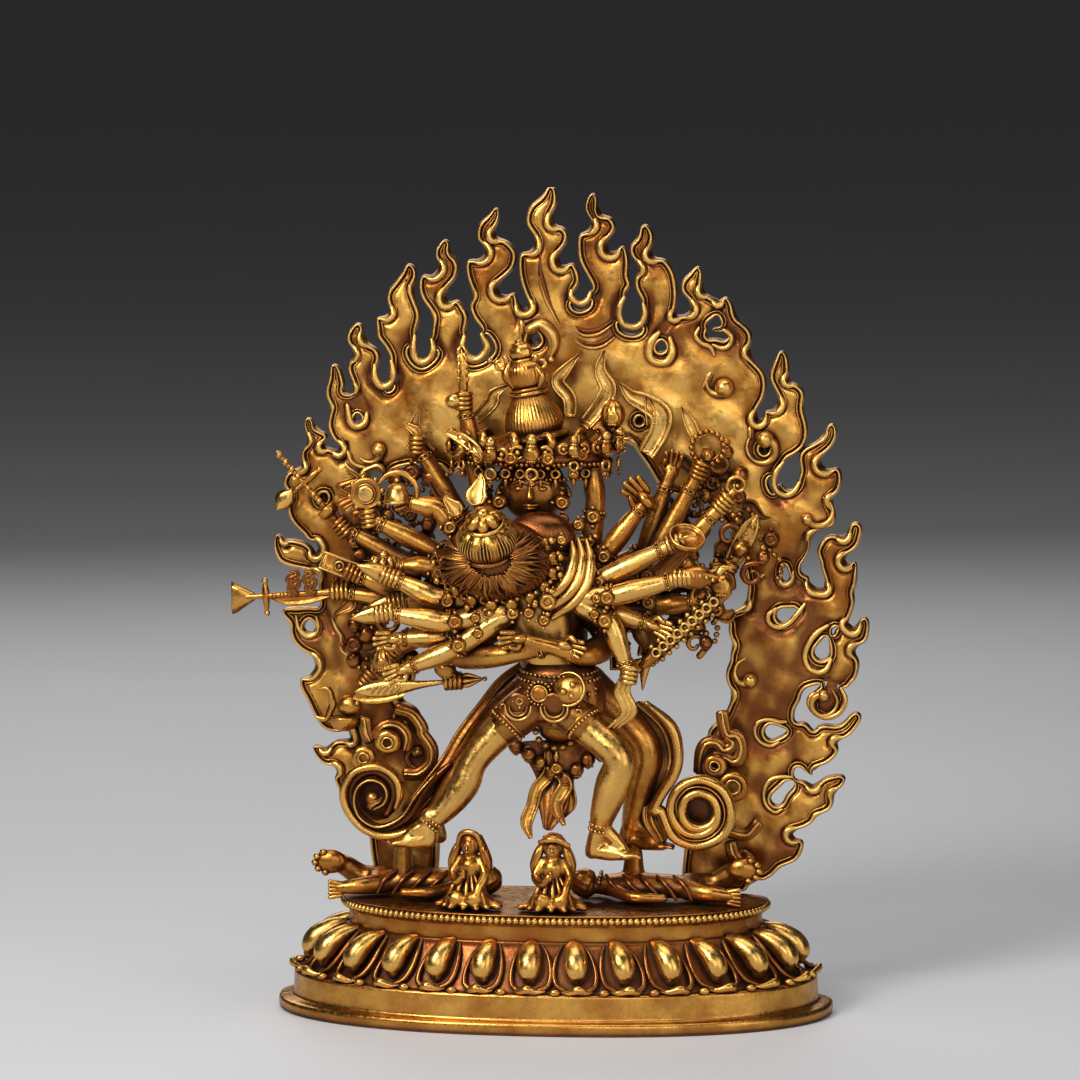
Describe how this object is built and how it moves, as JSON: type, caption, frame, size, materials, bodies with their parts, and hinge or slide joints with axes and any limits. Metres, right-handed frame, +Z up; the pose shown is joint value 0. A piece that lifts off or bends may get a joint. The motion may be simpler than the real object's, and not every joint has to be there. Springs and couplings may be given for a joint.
{
  "type": "gilt bronze wrathful deity figure",
  "caption": "Many-armed wrathful deity embracing a consort, treading on fallen figures on an oval lotus base with kneeling attendants, before a ring of flames",
  "frame": {"origin": "the middle of the base's flat underside, where it rests", "axes": "+Z up, +X to the viewer's right, +Y away from the viewer, so the front of the lotus base faces -Y"},
  "size_m": [0.1741, 0.0669, 0.2238],
  "materials": {
    "base_gilt": "gilt bronze, satin on the raised petals and band, brown in the creases, red pigment on the top",
    "aureole_gilt": "gilt bronze, hammered and mottled, brown along the incised rims",
    "deity_gilt": "gilt bronze, worn bright on the limbs, reddish brown in the ornament and hair",
    "consort_gilt": "gilt bronze, the brightest and smoothest limbs, coppery brown hair",
    "worn_gilt": "gilt bronze, dull and dark brown in the hollows"
  },
  "bodies": {
    "root": {"lotus_base": "base_gilt", "flame_aureole": "aureole_gilt", "deity": "deity_gilt", "consort": "consort_gilt", "fallen_figure_left": "worn_gilt", "fallen_figure_right": "worn_gilt", "kneeling_figure_left": "worn_gilt", "kneeling_figure_middle": "worn_gilt"}
  },
  "joints": []
}
